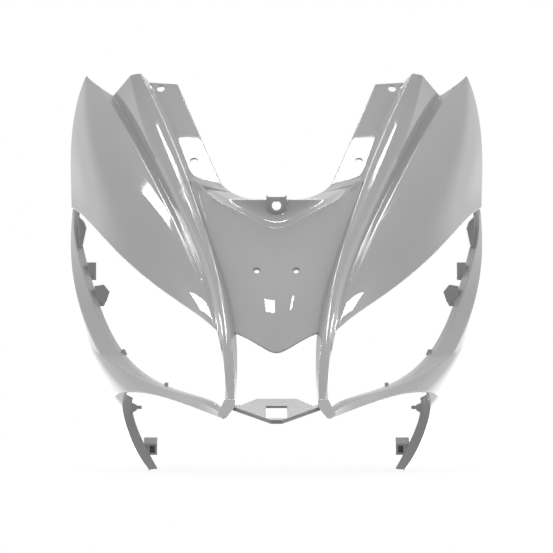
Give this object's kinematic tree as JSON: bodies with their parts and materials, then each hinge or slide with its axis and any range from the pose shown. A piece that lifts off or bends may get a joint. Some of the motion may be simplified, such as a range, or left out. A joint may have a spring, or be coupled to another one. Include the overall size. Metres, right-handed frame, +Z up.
{
  "type": "motorcycle front fairing",
  "caption": "Glossy one-piece moulded front fairing shell with swept wings, headlamp openings, a centre panel, windscreen flange arms and clip tabs.",
  "frame": {"origin": "centre of the boss bore at the front of its collar, on the mirror plane", "axes": "+X to the viewer's right across the fairing, -Y forward out of the bore, +Z up"},
  "size_m": [0.4464, 0.3797, 0.418],
  "materials": {
    "shell": "gloss"
  },
  "bodies": {
    "root": {"fairing_shell": "shell"}
  },
  "joints": []
}
